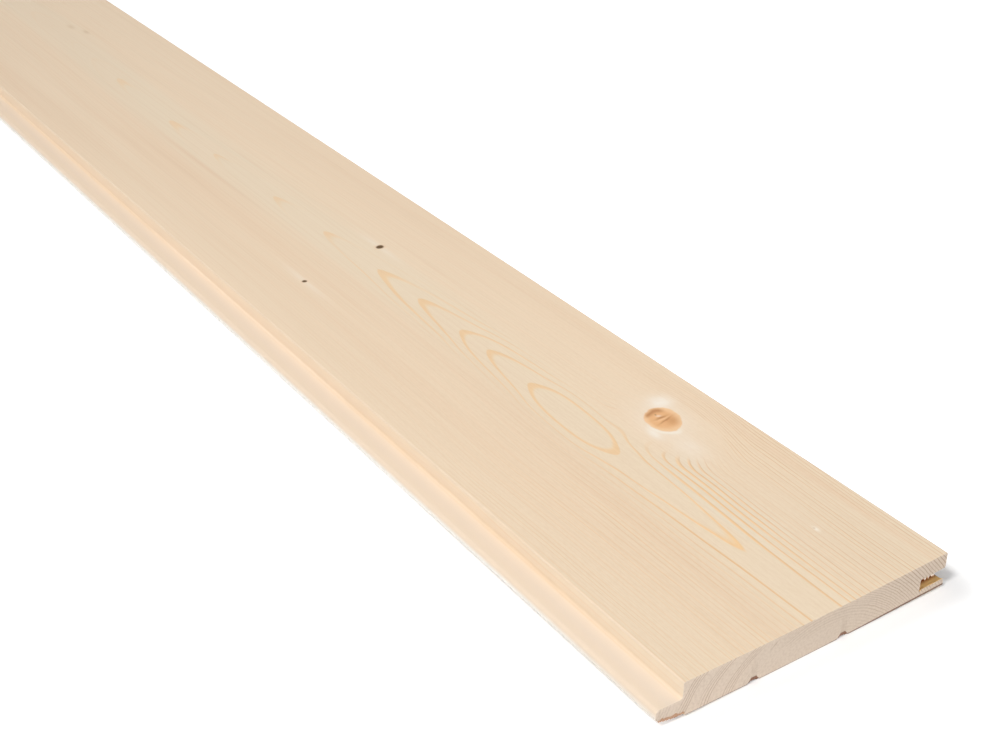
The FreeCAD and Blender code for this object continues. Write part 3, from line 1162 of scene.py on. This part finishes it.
@dataclass
class Studio:
    """The white floor, the soft light and the camera. Lengths are in metres."""

    end_place: float
    side_place: float
    camera_place: tuple = (1.4533, -0.2850, 0.3178)
    camera_down: float = 30.53
    camera_turn: float = 55.97
    camera_lens: float = 56.14
    sky_side: tuple = (0.5, -0.86, 0.1)
    sky_dim: float = 0.06
    sky_bright: float = 0.61
    floor_colour: tuple = (0.88, 0.88, 0.88, 1)
    floor_lift_close: float = 0.02
    floor_lift_far: float = 0.46
    floor_half: float = 8.0
    shadow_reach: tuple = (0.004, 0.022)
    end_shadow: tuple = (0.02, 0.16)
    side_shadow: tuple = (0.015, -0.003)
    sensor_width: float = 36.0
    lamps: tuple = (
        Softbox("key_lamp", (1.50, -1.25, 1.90), 0.42, 27.2),
        Softbox("fill_lamp", (3.60, -0.30, 1.80), 1.5, 41),
        Softbox("far_lamp", (-0.95, -0.60, 1.70), 1.2, 1.8, (-0.95, 0, 0), 50),
    )

    def build(self) -> None:
        """Makes everything round the board."""
        self.lay_floor()
        self.light_sky()
        for lamp in self.lamps:
            self.hang_lamp(lamp)
        self.set_camera()
        bpy.context.scene.view_settings.view_transform = "Standard"

    def direct_view(self, graph: Graph) -> Wire:
        """Is 1 for what the camera sees, directly or in something shiny or clear."""
        path = graph.add("LightPath").outputs
        direct = Wire(graph, path["Is Camera Ray"])
        for name in ("Is Glossy Ray", "Is Transmission Ray"):
            direct = direct.apply(Sum.MOST, Wire(graph, path[name]))
        return direct

    def lay_floor(self) -> None:
        """Lays the white floor, which glows for the camera: faintly near the board's sawn end, so that its
        shadows stay, and strongly elsewhere.
        """
        work = bmesh.new()
        bmesh.ops.create_grid(work, x_segments=1, y_segments=1, size=self.floor_half)
        mesh = bpy.data.meshes.new("floor")
        work.to_mesh(mesh)
        work.free()
        material = bpy.data.materials.new("white_floor")
        material.use_nodes = True
        graph = Graph(material.node_tree)
        shader = graph.add(
            "BsdfPrincipled",
            {"Base Color": self.floor_colour, "Roughness": 0.9, "Specular IOR Level": 0},
        )
        graph.feed(shader.inputs["Emission Color"], (1, 1, 1, 1))
        own = graph.add("TexCoord").outputs["Object"]
        parts = graph.add("SeparateXYZ", {0: own})
        along, across = (Wire(graph, output) for output in parts.outputs[:2])
        beyond = (along - self.end_place).apply(Sum.MOST, 0)
        beside = (across - self.side_place).apply(Sum.MOST, 0)
        away = (beyond * beyond + beside * beside).apply(Sum.ROOT).smooth(*self.shadow_reach)
        away = away.apply(Sum.MOST, (self.end_place - along).smooth(*self.end_shadow))
        away = away.apply(Sum.MOST, (across + self.side_place).smooth(*self.side_shadow))
        # The floor's glow towards the camera: low close to the sawn end away from the tongue side, high
        # further off.
        lift = away.between(self.floor_lift_close, self.floor_lift_far)
        graph.feed(shader.inputs["Emission Strength"], self.direct_view(graph) * lift)
        graph.add("OutputMaterial", {"Surface": shader.outputs[0]})
        mesh.materials.append(material)
        floor = bpy.data.objects.new("floor", mesh)
        bpy.context.scene.collection.objects.link(floor)

    def light_sky(self) -> None:
        """Lights the scene from all round, brighter towards sky_side, and shows white behind it."""
        world = bpy.data.worlds.new("studio")
        world.use_nodes = True
        graph = Graph(world.node_tree)
        way = graph.add("TexCoord").outputs["Generated"]
        facing = graph.add("VectorMath", {0: way, 1: self.sky_side}, operation="DOT_PRODUCT")
        side = Wire(graph, facing.outputs["Value"]).smooth(-0.8, 0.9)
        glow = side.between(self.sky_dim, self.sky_bright)
        strength = glow + self.direct_view(graph) * (1 - glow)
        sky = graph.add("Background", {"Color": (1, 1, 1, 1), "Strength": strength})
        graph.add("OutputWorld", {"Surface": sky.outputs[0]})
        bpy.context.scene.world = world

    def hang_lamp(self, box: Softbox) -> None:
        """Hangs one large soft lamp that faces its target."""
        lamp = bpy.data.lights.new(box.name, "AREA")
        lamp.shape = "SQUARE"
        lamp.size = box.size
        lamp.energy = box.power
        lamp.spread = math.radians(box.beam)
        hung = bpy.data.objects.new(box.name, lamp)
        hung.location = box.place
        aim = Vector(box.target) - Vector(box.place)
        hung.rotation_euler = aim.to_track_quat("-Z", "Y").to_euler()
        bpy.context.scene.collection.objects.link(hung)

    def set_camera(self) -> None:
        """Sets the camera at the photograph's viewing angle."""
        data = bpy.data.cameras.new("camera")
        data.sensor_fit = "HORIZONTAL"
        data.sensor_width = self.sensor_width
        data.lens = self.camera_lens
        data.clip_start = 0.01
        camera = bpy.data.objects.new("camera", data)
        camera.location = self.camera_place
        camera.rotation_euler = (math.radians(90 - self.camera_down), 0, math.radians(self.camera_turn))
        bpy.context.scene.collection.objects.link(camera)
        bpy.context.scene.camera = camera


def main() -> None:
    """Builds the board and the studio, and reports each piece."""
    logging.basicConfig(level=logging.INFO, format="%(name)s: %(message)s")
    low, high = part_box(BOARD_NODE)
    shape = GroovedBoard(low, high)
    wood = PlanedSpruce(
        face_height=high.z / MM,
        half_length=high.x / MM,
        shoulder=shape.shoulder / MM,
        groove_back=shape.groove_back / MM,
        groove_mouth=high.y / MM,
        groove_floor=shape.groove_floor / MM,
        groove_roof=shape.groove_roof / MM,
        tongue_rise=shape.tongue_rise / MM,
        relief_middles=tuple(middle / MM for middle in shape.relief_middles),
        cup_rate=shape.cup * MM / (high.y * high.y),
    )
    board = shape.build(wood.build())
    LOG.info("%s: %d faces on body %s", board.name, len(board.data.polygons), BODY)
    Studio(high.x, high.y).build()
    LOG.info("studio: floor, sky, lamps and camera")


if __name__ == "__main__":
    main()
